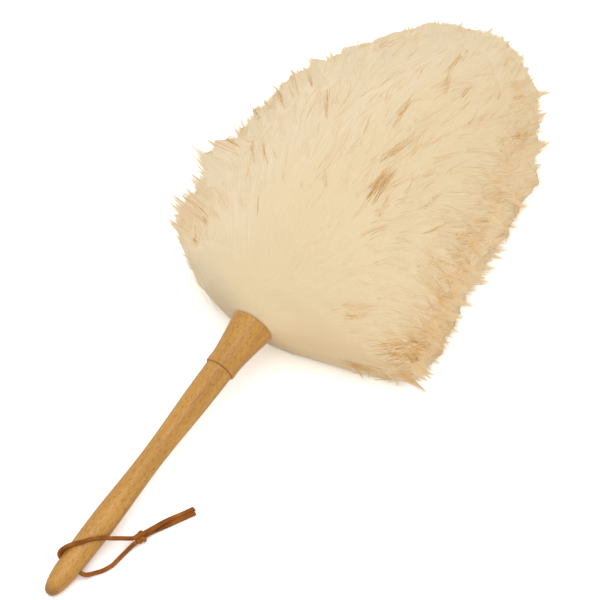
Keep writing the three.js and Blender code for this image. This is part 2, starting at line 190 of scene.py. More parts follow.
# Tufts of tan hair and of painted shade in the gaps they come out of: share along the outline and degrees
# around at root and at tip, width in millimetres, and tone
FACE_TUFTS = [
    (0.487, 72, 0.537, 63, 1.7, 0.8), (0.483, 69, 0.55, 57, 2, 0.4), (0.53, 98, 0.597, 97, 3.1, 0.75),
    (0.457, 104, 0.523, 108, 3.4, 0.7), (0.425, 85, 0.503, 78, 2, 0.35), (0.43, 87, 0.477, 84, 1.4, 0.35),
    (0.467, 97, 0.52, 92, 1.4, 0.35), (0.607, 74, 0.647, 72, 1.4, 0.3), (0.607, 66, 0.65, 58, 1.4, 0.5),
    (0.48, 47, 0.533, 31, 2.6, 0.8), (0.447, 36, 0.473, 28, 2.6, 0.85), (0.38, 38, 0.39, 28, 2.2, 0.85),
    (0.3, 45, 0.333, 26, 2.2, 0.75), (0.543, 51, 0.59, 36, 1.6, 0.75), (0.573, 162, 0.623, 187, 3, 0.8),
    (0.65, 89, 0.687, 89, 1.4, 0.4), (0.65, 106, 0.71, 99, 2.7, 0.6), (0.707, 99, 0.81, 95, 2, 0.7),
    (0.667, 113, 0.703, 113, 2, 0.7), (0.56, 106, 0.623, 110, 1.4, 0.45), (0.533, 115, 0.607, 121, 1.4, 0.5),
    (0.613, 122, 0.67, 129, 2, 0.5), (0.76, 138, 0.8, 146, 2, 0.7), (0.777, 131, 0.823, 140, 2.7, 0.55),
    (0.637, 140, 0.667, 144, 2, 0.65), (0.633, 144, 0.653, 144, 1.4, 0.7),
    (0.683, 148, 0.75, 164, 3.4, 0.75), (0.677, 152, 0.723, 161, 2.7, 0.6),
    (0.433, 129, 0.477, 132, 1.4, 0.9), (0.46, 119, 0.5, 124, 1.4, 0.5), (0.517, 128, 0.56, 132, 1, 0.5),
    (0.52, 121, 0.567, 128, 2, 0.45), (0.537, 152, 0.577, 157, 2.7, 0.6), (0.553, 157, 0.58, 167, 2, 0.7),
    (0.497, 155, 0.527, 164, 2.7, 0.65), (0.49, 158, 0.52, 166, 2.7, 0.5), (0.44, 149, 0.467, 156, 3.4, 0.7),
    (0.397, 135, 0.437, 142, 1.4, 0.65), (0.393, 130, 0.443, 140, 1.4, 0.35),
    (0.41, 153, 0.437, 160, 3.4, 0.65), (0.363, 144, 0.39, 152, 4.1, 0.65), (0.607, 155, 0.64, 162, 2, 0.5),
    (0.387, 143, 0.413, 146, 2, 0.4), (0.383, 109, 0.45, 110, 4.8, 0.9), (0.377, 115, 0.41, 114, 2, 0.6),
    (0.363, 114, 0.38, 115, 3.4, 0.55), (0.32, 113, 0.37, 121, 1.7, 0.55), (0.373, 121, 0.4, 124, 1, 0.4),
    (0.42, 114, 0.457, 117, 1, 0.45), (0.457, 117, 0.5, 124, 1.4, 0.4), (0.263, 111, 0.29, 113, 2, 0.3),
    (0.253, 113, 0.277, 120, 2.7, 0.3), (0.397, 130, 0.433, 137, 1.4, 0.35),
    (0.32, 135, 0.337, 136, 2.7, 0.35), (0.213, 123, 0.25, 133, 3.4, 0.5), (0.187, 130, 0.23, 132, 3.4, 0.6),
    (0.16, 144, 0.213, 143, 2.7, 0.45), (0.244, 158, 0.262, 170, 3.6, 0.9),
    (0.221, 165, 0.235, 177, 4, 0.95), (0.137, 199, 0.17, 206, 5.4, 0.8), (0.337, 152, 0.337, 155, 2, 0.5),
    (0.307, 154, 0.32, 161, 2.7, 0.5), (0.257, 120, 0.263, 125, 1.4, 0.35),
    (0.267, 128, 0.283, 134, 1.4, 0.4), (0.35, 56, 0.4, 45, 2, 0.75), (0.353, 62, 0.393, 53, 1.6, 0.7),
    (0.26, 54, 0.3, 37, 4.8, 0.4), (0.297, 46, 0.317, 35, 2.7, 0.4), (0.267, 64, 0.28, 58, 2, 0.3),
    (0.23, 45, 0.257, 29, 3.4, 0.8), (0.177, 37, 0.203, 29, 3.4, 0.8), (0.213, 36, 0.23, 28, 2.7, 0.6),
    (0.237, 54, 0.253, 44, 2.7, 0.4), (0.393, 77, 0.427, 72, 2.7, 0.35), (0.38, 96, 0.427, 95, 2.7, 0.3),
    (0.257, 95, 0.283, 102, 1.4, 0.3), (0.423, 60, 0.467, 48, 2.7, 0.4), (0.45, 62, 0.497, 52, 2, 0.35),
    (0.15, 200, 0.18, 204, 5, 0.6), (0.16, 203, 0.19, 207, 5, 0.6), (0.13, 203, 0.165, 208, 5, 0.55),
    (0.17, 197, 0.2, 201, 4, 0.5), (0.39, 107, 0.445, 108, 4, 0.8),
]

# Zones of tan hair and of painted shade in gaps and at low edges: share along the outline, degrees around,
# radius in millimetres, and strength
TAN_AND_SHADE_ZONES = [
    (0.247, 164, 13, 0.9), (0.213, 164, 10, 0.8), (0.157, 206, 12, 1.0), (0.185, 195, 10, 0.8),
    (0.317, 161, 14, 0.6), (0.417, 161, 14, 0.65), (0.47, 156, 11, 0.7), (0.56, 155, 13, 0.7),
    (0.707, 153, 13, 0.6), (0.783, 139, 10, 0.6), (0.203, 125, 9, 0.55), (0.413, 109, 6, 0.8),
    (0.517, 109, 8, 0.25), (0.67, 110, 7, 0.3), (0.247, 44, 9, 0.6), (0.207, 36, 8, 0.7), (0.51, 69, 6, 0.4),
    (0.19, 140, 10, 0.35), (0.36, 155, 12, 0.6), (0.64, 150, 11, 0.6), (0.86, 120, 10, 0.5),
    (0.3, 190, 20, 0.5), (0.6, 190, 20, 0.5), (0.25, 10, 15, 0.5), (0.5, 15, 20, 0.3), (0.45, 250, 25, 0.3),
]

# Locks at the edge: share along the outline, degrees around, reach in millimetres, and the core's tone, of tan
# hair and painted shade
# The reach is along, across and above the axis. A tone of 0 stands for one that follows the pile's.
EDGE_LOCKS = [
    (0.18, 33, 1, 20, 8, 0.6), (0.22, 38, 3, 25, 10, 0), (0.23, 46, 4, 19, 9, 0.75),
    (0.26, 43, 3, 19, 8, 0.5), (0.293, 46, 6, 26, 12, 0), (0.323, 41, -4, 16, 4, 0),
    (0.347, 41, -3, 15, 5, 0), (0.37, 42, -6, 19, 5, 0.65), (0.383, 46, -4, 16, 5, 0.5),
    (0.413, 47, 5, 13, 7, 0), (0.477, 48, 9, 9, 7, 0), (0.513, 49, 9, 11, 8, 0.5), (0.54, 57, 8, 12, 8, 0),
    (0.59, 63, 10, 9, 7, 0), (0.597, 68, 11, 9, 8, 0), (0.65, 73, 9, 7, 6, 0), (0.7, 77, 7, 7, 5, 0),
    (0.767, 76, 12, 5, 7, 0), (0.777, 82, 12, 4, 6, 0), (0.793, 97, 13, 3, 6, 0), (0.813, 103, 13, 0, 5, 0),
    (0.803, 111, 14, -3, 4, 0), (0.793, 130, 16, -2, 5, 0.5), (0.783, 137, 15, -5, 4, 0.5),
    (0.767, 145, 15, -7, 3, 0), (0.73, 145, 12, -5, 3, 0.5), (0.707, 152, 11, -5, 2, 0.6),
    (0.7, 163, 14, -9, 2, 0.55), (0.677, 164, 15, -7, 3, 0.5), (0.623, 161, 12, -9, 1, 0.5),
    (0.58, 162, 2, -12, -4, 0.5), (0.53, 160, -1, -13, -5, 0.5), (0.493, 161, 0, -12, -5, 0.5),
    (0.457, 160, -1, -13, -5, 0), (0.427, 163, -1, -12, -5, 0.5), (0.403, 160, -1, -12, -5, 0),
    (0.383, 161, -1, -12, -5, 0.5), (0.367, 162, -1, -12, -5, 0.55), (0.34, 159, -1, -12, -5, 0.5),
    (0.323, 160, -1, -13, -5, 0.5), (0.3, 161, -2, -11, -5, 0.6), (0.283, 162, -2, -11, -5, 0.7),
    (0.27, 163, -1, -12, -5, 0.6), (0.247, 167, -2, -11, -5, 0.6), (0.23, 176, -2, -12, -5, 0),
    (0.19, 190, 1, -26, -9, 0.8), (0.215, 180, 0, -13, -5, 0), (0.175, 198, -1, -11, -5, 0),
    (0.15, 207, -3, -8, -4, 0), (0.197, 198, -4, -7, -4, 0), (0.163, 203, -4, -5, -3, 0),
]


# Meshes

def mesh_object(name, points, triangles, look, uv=None, smooth=True, normals=None):
    """A mesh of triangles in one material, with uv for each point and normals for each triangle's corners."""
    points = np.asarray(points, np.float32)
    triangles = np.asarray(triangles, np.int32)
    mesh = bpy.data.meshes.new(name)
    mesh.materials.append(look)
    mesh.vertices.add(len(points))
    mesh.vertices.foreach_set("co", points.ravel())
    mesh.loops.add(triangles.size)
    mesh.loops.foreach_set("vertex_index", triangles.ravel())
    mesh.polygons.add(len(triangles))
    mesh.polygons.foreach_set("loop_start", np.arange(0, triangles.size, 3, dtype=np.int32))
    mesh.update(calc_edges=True)
    mesh.polygons.foreach_set("use_smooth", np.full(len(triangles), smooth))
    if uv is not None:
        layer = mesh.uv_layers.new(name="OFBake")
        layer.uv.foreach_set("vector", np.asarray(uv, np.float32)[triangles.ravel()].ravel())
    if normals is not None:
        mesh.normals_split_custom_set(np.asarray(normals, np.float32))
    obj = bpy.data.objects.new(name, mesh)
    scene.collection.objects.link(obj)
    return obj


def closed_triangles(rows, columns):
    """Triangles over rows of points that each close into a ring, and over one more point at each end."""
    i, j = np.meshgrid(np.arange(rows - 1), np.arange(columns), indexing="ij")
    a, b = i * columns + j, i * columns + (j + 1) % columns
    c, d = b + columns, a + columns
    start, end = np.full(columns, rows * columns), np.full(columns, rows * columns + 1)
    return np.vstack([
        np.stack([a, b, c, a, c, d], -1).reshape(-1, 3),
        np.stack([b[0], a[0], start], 1),
        np.stack([end, d[-1], c[-1]], 1),
    ])


def unit(v):
    return v / np.maximum(np.linalg.norm(v, axis=-1, keepdims=True), 1e-9)


def smoothstep(low, high, x):
    t = np.clip((x - low) / (high - low), 0, 1)
    return t * t * (3 - 2 * t)


def route(points, steps_per_span=8):
    """A centripetal Catmull-Rom line through the points."""
    p = np.array(points, float)
    p = np.vstack([2 * p[0] - p[1], p, 2 * p[-1] - p[-2]])
    line = []
    for a, b, c, d in zip(p[:-3], p[1:-2], p[2:-1], p[3:]):
        k0 = 0.0
        k1 = k0 + math.sqrt(np.linalg.norm(b - a))
        k2 = k1 + math.sqrt(np.linalg.norm(c - b))
        k3 = k2 + math.sqrt(np.linalg.norm(d - c))
        for k in np.linspace(k1, k2, steps_per_span, endpoint=False):
            ab = a + (b - a) * (k - k0) / (k1 - k0)
            bc = b + (c - b) * (k - k1) / (k2 - k1)
            cd = c + (d - c) * (k - k2) / (k3 - k2)
            left = ab + (bc - ab) * (k - k0) / (k2 - k0)
            right = bc + (cd - bc) * (k - k1) / (k3 - k1)
            line.append(left + (right - left) * (k - k1) / (k2 - k1))
    line.append(p[-2])
    return np.array(line)


def length_of(line):
    return float(np.linalg.norm(np.diff(line, axis=0), axis=1).sum())


# Materials

class Look:
    """The shader nodes of a material or of the world. A node that is added gives its outputs."""

    def __init__(self, owner):
        owner.use_nodes = True
        self.owner = owner
        self.nodes = owner.node_tree.nodes
        self.links = owner.node_tree.links

    def feed(self, node, inputs):
        """Sets a node's inputs by values, or by links from outputs."""
        for place, value in inputs.items():
            if isinstance(value, bpy.types.NodeSocket):
                self.links.new(value, node.inputs[place])
            else:
                node.inputs[place].default_value = value

    def finish(self, inputs):
        """Feeds the material's Principled shader."""
        self.feed(self.nodes["Principled BSDF"], inputs)
        return self.owner

    def add(self, kind, inputs, **settings):
        node = self.nodes.new("ShaderNode" + kind)
        for name, value in settings.items():
            setattr(node, name, value)
        self.feed(node, inputs)
        return node.outputs

    def ramp(self, factor, stops):
        """The colour at the factor between stops, each a place and a colour or a grey."""
        node = self.nodes.new("ShaderNodeValToRGB")
        elements = node.color_ramp.elements
        while len(elements) < len(stops):
            elements.new(0.5)
        for element, (place, colour) in zip(elements, stops):
            element.position = place
            element.color = (*np.broadcast_to(colour, 3), 1)
        self.feed(node, {"Fac": factor})
        return node.outputs["Color"]

    def noise(self, vector, detail, roughness):
        inputs = {"Vector": vector, "Scale": 1.0, "Detail": detail, "Roughness": roughness}
        return self.add("TexNoise", inputs)["Fac"]

    def grain(self, turn, scale, detail, roughness):
        """Noise in the object's own coordinates, turned about Y and stretched."""
        place = self.add("TexCoord", {})["Object"]
        turned = self.add("Mapping", {"Vector": place, "Rotation": (0, turn, 0)})["Vector"]
        pulled = self.add("Mapping", {"Vector": turned, "Scale": scale})["Vector"]
        return self.noise(pulled, detail, roughness)

    def mixed(self, kind, factor, first, second):
        return self.add("Mix", {0: factor, 6: first, 7: second}, data_type="RGBA", blend_type=kind)[2]

    def bump(self, height, distance, strength=0.6):
        return self.add("Bump", {"Height": height, "Distance": distance, "Strength": strength})["Normal"]


def material(name):
    return Look(bpy.data.materials.new(name))


def beech():
    """Oiled beech with fine dark flecks, darker at the butt's end grain."""
    look = material("oiled_beech")
    grain = look.grain(REST_ANGLE, (9, 150, 150), 4, 0.55)
    flecks = look.grain(REST_ANGLE, (330, 1300, 1300), 2, 0.6)
    cloud = look.grain(REST_ANGLE, (16, 40, 40), 2, 0.5)
    tone = look.ramp(grain, [
        (0.25, (0.45, 0.205, 0.03)), (0.5, (0.57, 0.285, 0.05)), (0.78, (0.66, 0.348, 0.075)),
    ])
    fleck = look.ramp(flecks, [(0.34, (0.6, 0.48, 0.36)), (0.5, 1)])
    patch = look.ramp(cloud, [(0.3, (0.92, 0.9, 0.87)), (0.7, 1.05)])
    place = look.add("SeparateXYZ", {"Vector": look.add("TexCoord", {})["Object"]})
    butt, dark_end, fade_end = cad_box[0][0], 0.001, 0.006
    share = look.add("MapRange", {
        "Value": place["X"], "From Min": butt + dark_end, "From Max": butt + fade_end,
    })["Result"]
    end_grain = look.ramp(share, [(0, (0.66, 0.62, 0.58)), (1, 1)])
    for strength, tint in ((0.75, fleck), (1, patch), (1, end_grain)):
        tone = look.mixed("MULTIPLY", strength, tone, tint)
    return look.finish({"Base Color": tone, "Roughness": 0.42, "Normal": look.bump(flecks, 0.00012, 0.5)})


def two_toned(name, grain, dark, light, bumps, roughness, metallic=0):
    """A material with one noise for its two tones and its bumps."""
    look = material(name)
    noise = look.grain(*grain)
    return look.finish({
        "Base Color": look.ramp(noise, [(0.3, dark), (0.7, light)]), "Metallic": metallic,
        "Roughness": roughness, "Normal": look.bump(noise, *bumps),
    })


def raw_wood():
    grain = (REST_ANGLE, (14, 220, 220), 4, 0.6)
    return two_toned("raw_core_wood", grain, (0.38, 0.21, 0.07), (0.56, 0.34, 0.13), (0.0002, 0.6), 0.75)


def lambskin():
    pores = (0, (700, 700, 700), 4, 0.6)
    return two_toned("tanned_lambskin", pores, (0.58, 0.43, 0.26), (0.76, 0.61, 0.41), (0.0002, 0.6), 0.85)


def tack_steel():
    rub = (0, (900, 900, 900), 3, 0.5)
    return two_toned("bright_tack_steel", rub, (0.3, 0.3, 0.29), (0.42, 0.42, 0.4), (0.00005, 0.4), 0.35, 1)


def thong_leather():
    look = material("thong_leather")
    cloud = look.grain(0, (120, 120, 120), 3, 0.55)
    pores = look.grain(0, (1800, 1800, 1800), 3, 0.6)
    tone = look.ramp(cloud, [
        (0.3, (0.21, 0.06, 0.006)), (0.55, (0.35, 0.112, 0.014)), (0.8, (0.48, 0.17, 0.026)),
    ])
    pore = look.ramp(pores, [(0.3, (0.7, 0.65, 0.6)), (0.55, 1)])
    return look.finish({
        "Base Color": look.mixed("MULTIPLY", 0.7, tone, pore), "Roughness": 0.7,
        "Specular IOR Level": 0.2, "Normal": look.bump(pores, 0.0001),
    })


def strand_wool():
    """Wool strands: cream at the root, and from there on as dark as the strand's tone row says."""
    look = material("wool_strands")
    place = look.add("SeparateXYZ", {"Vector": look.add("UVMap", {}, uv_map="OFBake")["UV"]})
    # Tone rows below 0.22 are paler by painted light; rows above it are darker by tan hair and painted shade
    pale = [(0, (0.885, 0.73, 0.53)), (0.22, (0.82, 0.66, 0.415))]
    cream = look.ramp(place["Y"], pale)
    tip = look.ramp(place["Y"], pale + [
        (0.4, (0.8, 0.58, 0.35)), (0.6, (0.7, 0.43, 0.17)),
        (0.8, (0.55, 0.28, 0.075)), (1, (0.36, 0.16, 0.035)),
    ])
    reach = look.ramp(place["X"], [(0.05, 0), (0.2, 1), (0.75, 0.85), (1, 0.35)])
    body = look.mixed("MIX", reach, cream, tip)
    return look.finish({"Base Color": body, "Roughness": 0.9, "Specular IOR Level": 0.15})


def fleece_wool():
    """The matted wool under the strands, streaked along the hair, paler at one side by painted light and warmer
    at the other by painted warm light in its shaded valleys.
    """
    look = material("wool_fleece")
    layer = look.add("UVMap", {}, uv_map="OFBake")["UV"]
    streaks = look.noise(look.add("Mapping", {"Vector": layer, "Scale": (260, 9, 1)})["Vector"], 3, 0.6)
    tone = look.ramp(streaks, [(0.25, (0.755, 0.6, 0.37)), (0.75, (0.8, 0.648, 0.41))])
    place = look.add("SeparateXYZ", {"Vector": layer})
    toward_tip = look.add("Math", {0: place["Y"], 1: 0.35, 2: place["X"]}, operation="MULTIPLY_ADD")[0]
    # Painted light: paler at the left and the tip, and warmer and brighter in the shaded valleys at the right
    pale = look.ramp(toward_tip, [(0.6, 0), (0.78, 1)])
    painted_warm_light = look.ramp(toward_tip, [(0.14, 1), (0.42, 0)])
    body = look.mixed("MIX", pale, tone, (0.775, 0.63, 0.415, 1))
    body = look.mixed("MIX", painted_warm_light, body, (0.87, 0.66, 0.395, 1))
    return look.finish({
        "Base Color": body, "Roughness": 1, "Specular IOR Level": 0.05, "Normal": look.bump(streaks, 0.0006),
    })


# Camera, light and floor

def make_camera():
    camera = bpy.data.objects.new("camera", bpy.data.cameras.new("camera"))
    scene.collection.objects.link(camera)
    turn, rise = CAMERA_TURN, CAMERA_ELEVATION
    view = Vector((math.sin(turn) * math.cos(rise), math.cos(turn) * math.cos(rise), -math.sin(rise)))
    camera.location = CAMERA_AIM - CAMERA_DISTANCE * view
    camera.rotation_euler = view.to_track_quat("-Z", "Y").to_euler()
    camera.data.lens = CAMERA_LENS
    camera.data.sensor_width = CAMERA_SENSOR
    camera.data.clip_end = CAMERA_SIGHT
    scene.camera = camera


def make_light():
    """One soft lamp in a pale studio, which is white where it is seen."""
    right = Vector((math.cos(CAMERA_TURN), -math.sin(CAMERA_TURN), 0))
    away = Vector((math.sin(CAMERA_TURN), math.cos(CAMERA_TURN), 0))
    key = bpy.data.objects.new("key_light", bpy.data.lights.new("key_light", "AREA"))
    scene.collection.objects.link(key)
    key.location = CAMERA_AIM + KEY_RIGHT * right - KEY_NEARER * away + Vector((0, 0, KEY_HEIGHT))
    key.rotation_euler = (CAMERA_AIM - key.location).to_track_quat("-Z", "Y").to_euler()
    key.data.size = KEY_SIZE
    key.data.energy = KEY_POWER
    scene.world = bpy.data.worlds.new("studio")
    look = Look(scene.world)
    path = look.add("LightPath", {})
    seen = path["Is Camera Ray"]
    for kind in ("Is Glossy Ray", "Is Transmission Ray"):
        seen = look.add("Math", {0: seen, 1: path[kind]}, operation="MAXIMUM")[0]
    level = look.add("MapRange", {"Value": seen, "To Min": SKY_LEVEL, "To Max": 1.0})["Result"]
    look.feed(look.nodes["Background"], {"Color": (1, 1, 1, 1), "Strength": level})


def make_floor():
    corners = [(FLOOR_REACH * x, FLOOR_REACH * y, 0) for x, y in ((-1, -1), (1, -1), (1, 1), (-1, 1))]
    look = material("white_floor")
    look.nodes.remove(look.nodes["Principled BSDF"])
    lit, seen = ((tone, tone, tone, 1) for tone in (FLOOR_TONE, FLOOR_SEEN_TONE))
    colour = look.mixed("MIX", look.add("LightPath", {})["Is Camera Ray"], lit, seen)
    paper = look.add("BsdfDiffuse", {"Color": colour})["BSDF"]
    look.feed(look.nodes["Material Output"], {"Surface": paper})
    floor = mesh_object("floor", corners, [(0, 1, 2), (0, 2, 3)], look.owner, smooth=False)


# Thong

def lace(name, line, look, cut=0.0, width=LACE_WIDTH):
    """A lace with a rounded square section. cut slants its far end, width is a share of its diameter."""
    tangent = unit(np.gradient(line, axis=0))
    up = np.zeros_like(line)
    hint = np.array([0, 0, 1.0]) if abs(tangent[0][2]) < 0.9 else np.array([1.0, 0, 0])
    for i, t in enumerate(tangent):
        hint = hint - t * (hint @ t)
        hint = hint / np.linalg.norm(hint)
        up[i] = hint
    side = np.cross(tangent, up)
    angle = np.arange(LACE_SIDES) / LACE_SIDES * 2 * math.pi + math.pi / LACE_SIDES
    cos, sin = np.cos(angle), np.sin(angle)
    half = THONG_DIAMETER / 2 * width * np.ones(len(line))
    u = np.sign(cos) * np.abs(cos) ** LACE_SQUARENESS * half[:, None]
    v = np.sign(sin) * np.abs(sin) ** LACE_SQUARENESS * THONG_DIAMETER / 2 * LACE_HEIGHT
    rings = line[:, None] + side[:, None] * u[..., None] + up[:, None] * v[:, None]
    rings[-1] += tangent[-1] * (u[-1] * cut)[:, None]
    points = np.vstack([rings.reshape(-1, 3), rings[0].mean(0), rings[-1].mean(0)])
    points[:, 2] = np.maximum(points[:, 2], LACE_FLOOR)
    return mesh_object(name, points, closed_triangles(len(line), LACE_SIDES)[:, ::-1], look)


def thong(look):
    over, side, long_tail, short_tail = (
        route(np.array(points) / 1000) + HOLE for points in (OVER_STRAND, SIDE_STRAND, LONG_TAIL, SHORT_TAIL)
    )
    mouth = HOLE_MOUTH * HOLE_WAY
    run = np.linspace(0, length_of(over), len(over))
    twisted = LACE_WIDTH + TWIST_WIDTH * np.exp(-((run - TWIST_PLACE) / TWIST_REACH) ** 2)
    turn = np.array([math.cos(KNOT_TURN), math.sin(KNOT_TURN), 0])
    aside = np.array([-math.sin(KNOT_TURN), math.cos(KNOT_TURN), 0])
    up = np.array([0, 0, 1.0])
    t = np.linspace(0.25, 2 * math.pi + 0.12, 90)[:, None]
    wraps = KNOT_PLACE + HOLE + turn * KNOT_SCALE_ALONG * (np.cos(t) - 2 * np.cos(2 * t)) \
        + aside * KNOT_SCALE_ASIDE * (np.sin(t) + 2 * np.sin(2 * t)) \
        - up * (KNOT_DROP + KNOT_SCALE_UP * np.sin(3 * t))
    knot = lace("thong_knot_wraps", wraps, look)
    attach(knot, "thong")
    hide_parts("thong_knot")
    for name, start, end in (("thong_knot_first_core", over[-1], long_tail[0]),
                             ("thong_knot_second_core", side[-1], short_tail[0])):
        core = lace(name, np.linspace(start, end, 6), look)
        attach(core, "thong")
    tail = ("bare", TAIL_CUT, TAIL_WIDTH)
    stretches = (
        ("thong_lace_over", "thong_over_strand", over, HOLE + mouth, "knot", 0.0, twisted),
        ("thong_lace_side", "thong_side_strand", side, HOLE - mouth, "knot", 0.0, LACE_WIDTH),
        ("thong_lace_long_tail", "thong_tail_long", long_tail, long_tail[0], *tail),
        ("thong_lace_short_tail", "thong_tail_short", short_tail, short_tail[0], *tail),
    )
    for name, node, line, exit_point, far_end, cut, width in stretches:
        obj = lace(name, line, look, cut, width)
        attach(obj, "thong")
        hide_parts(node)


# Wool

def outline(samples=400):
    """Stations, half widths and drift along the pile's outline, evenly spaced from the rim to the tip."""
    line = route(WOOL_OUTLINE, 40)
    run = np.concatenate([[0], np.cumsum(np.linalg.norm(np.diff(line, axis=0), axis=1))])
    even = np.linspace(0, run[-1], samples)
    return np.stack([np.interp(even, run, column) for column in line.T], 1)


def relief_waves(count=16):
    """Waves of the pile's soft hills: turns around it, waves along it and phase."""
    random = np.random.default_rng(3)
    return [
        (random.integers(6, 26), random.uniform(-2.5, 2.5), random.uniform(0, 2 * math.pi))
        for _ in range(count)
    ]


OUTLINE = outline()
OUTLINE_RUN = length_of(OUTLINE)
OUTLINE_WIDTH = OUTLINE[:, 1].max()
RELIEF_WAVES = relief_waves()


def outline_at(q):
    place, index = q * (len(OUTLINE) - 1), np.arange(len(OUTLINE))
    return [np.interp(place, index, column) for column in OUTLINE.T]


def relief(q, angle):
    """Height of the pile's hills, of the ridges at its sides and of its lobes."""
    hills = sum(
        np.sin(turns * angle + 2 * math.pi * waves * q + phase) for turns, waves, phase in RELIEF_WAVES
    )
    height = RELIEF_HEIGHT * hills / math.sqrt(len(RELIEF_WAVES)) * smoothstep(*RELIEF_START, q)
    side = smoothstep(0.9, 0.4, np.abs(np.sin(angle))) * smoothstep(*RIDGE_START, q)
    for count, turn, ridge in SIDE_RIDGES:
        height = height + ridge * side * (0.7 - np.abs(np.sin(math.pi * count * q + turn * angle)))
    for place, degrees, lobe in LOBES:
        along = (q - place) * OUTLINE_RUN
        around = (np.mod(angle - math.radians(degrees) + math.pi, 2 * math.pi) - math.pi) * OUTLINE_WIDTH
        height = height + lobe / 1000 * np.exp(-((along ** 2 + around ** 2) / LOBE_RADIUS ** 2) ** 1.5)
    return height


def pile_surface(q, angle, inset=0.0):
    """The pile's outer surface at share q of its outline, in the axis's frame: along, across and above."""
    q, angle = np.broadcast_arrays(np.asarray(q, float), np.asarray(angle, float))
    x, a, drift = outline_at(q)
    fullness = smoothstep(0, WOOL_SHOULDER, x)
    height = RIM[2] + (WOOL_TIP_HEIGHT - RIM[2]) * x / WOOL_LENGTH
    axis_height = RIM[2] + x * math.sin(REST_ANGLE)
    sag = (height - axis_height) / math.cos(REST_ANGLE)
    floor = -axis_height / math.cos(REST_ANGLE)
    a = np.maximum(a, 0)
    coat = WOOL_COAT + relief(q, angle) - inset
    x = x + coat * smoothstep(WOOL_TIP_START, 1, q)
    a = np.maximum(a + coat * fullness * np.clip(a / WOOL_THIN_COAT, 0, 1), 0)
    crown = np.maximum(a * (1 + (WOOL_RISE - 1) * fullness), 1e-6)
    back = WOOL_BACK_RISE + coat * fullness + WOOL_BACK_SLOPE * x
    rise = (crown ** -WOOL_BACK_BLEND + back ** -WOOL_BACK_BLEND) ** (-1 / WOOL_BACK_BLEND)
    depth = np.minimum(crown, np.maximum(sag - floor + WOOL_PRESS - inset, 0))
    sin, cos = np.sin(angle), np.cos(angle)
    wide = np.sign(cos) * np.abs(cos) ** np.where(sin < 0, 1 + (WOOL_SQUAT - 1) * fullness, 1)
    up = sin * np.where(sin > 0, rise, depth)
    return np.stack([x, drift + wide * a, np.maximum(sag + up, floor)], -1)


def turned_to_row(v):
    return v[..., :1] * ALONG + v[..., 1:2] * ACROSS + v[..., 2:] * ABOVE


def to_row(p):
    return RIM + turned_to_row(p)


def surface_frame(q, angle):
    """Point, outward normal and forward direction of the pile's surface."""
    step, turn = 0.006, 0.03
    p = pile_surface(q, angle)
    forward = pile_surface(np.minimum(q + step, 1), angle) - pile_surface(np.maximum(q - step, 0), angle)
    beside = pile_surface(q, angle + turn) - pile_surface(q, angle - turn)
    return p, unit(np.cross(beside, forward)), unit(forward)


def lifted_normals(normals):
    """Shading normals of the pile, bent upward from its true ones, as light spreads through loose wool."""
    lifted = turned_to_row(normals) + (0, 0, NORMAL_LIFT)
    lifted[..., 2] = np.maximum(lifted[..., 2], NORMAL_FLOOR)
    return unit(lifted)


def hair_way(place):
    """The way that the hair grows at places of the pile: fanned out from the collar, wider than straight
    lines, and swirled a little further on."""
    fanned = place - FAN_POINT
    ones = np.ones(fanned.shape[:-1])
    forward = 0.65 - 0.35 * smoothstep(0.04, 0.09, np.abs(fanned[..., 1]))
    fanned = fanned * np.stack([forward, ones, 0.65 * ones], -1)
    swirl = np.sin(place[..., [1, 2, 0]] * (120, 95, 140) + (0.4, 2.1, 4.0)) \
        + np.sin(place * (70, 155, 110) + (5.2, 1.3, 3.1))
    further_on = smoothstep(0.04, 0.12, np.linalg.norm(fanned, axis=-1))[..., None]
    return unit(unit(fanned) + 0.13 * swirl * further_on)


def laid_on(way, normal):
    """The direction, laid on the surface that has the normal."""
    return unit(way - normal * (way * normal).sum(-1, keepdims=True))


def along_hair(q, angle, length):
    """Lines of points, with their normals, that start at places of the pile and fan out from the collar."""
    lines, normals = [], []
    step = 0.004
    for _ in range(STRAND_RINGS + 1):
        place, normal, _ = surface_frame(q, angle)
        lines.append(place)
        normals.append(normal)
        way = laid_on(hair_way(place), normal) * (length / STRAND_RINGS)[:, None]
        along = (pile_surface(q + step, angle) - pile_surface(q - step, angle)) / (2 * step)
        beside = (pile_surface(q, angle + step) - pile_surface(q, angle - step)) / (2 * step)
        e, f, g = (along * along).sum(-1), (along * beside).sum(-1), (beside * beside).sum(-1)
        a, b = (along * way).sum(-1), (beside * way).sum(-1)
        scale = np.maximum(e * g - f * f, 1e-12)
        q = np.clip(q + (g * a - f * b) / scale, 0.002, 0.996)
        angle = angle + np.clip((e * b - f * a) / scale, -0.4, 0.4)
    return np.stack(lines, 1), np.stack(normals, 1)


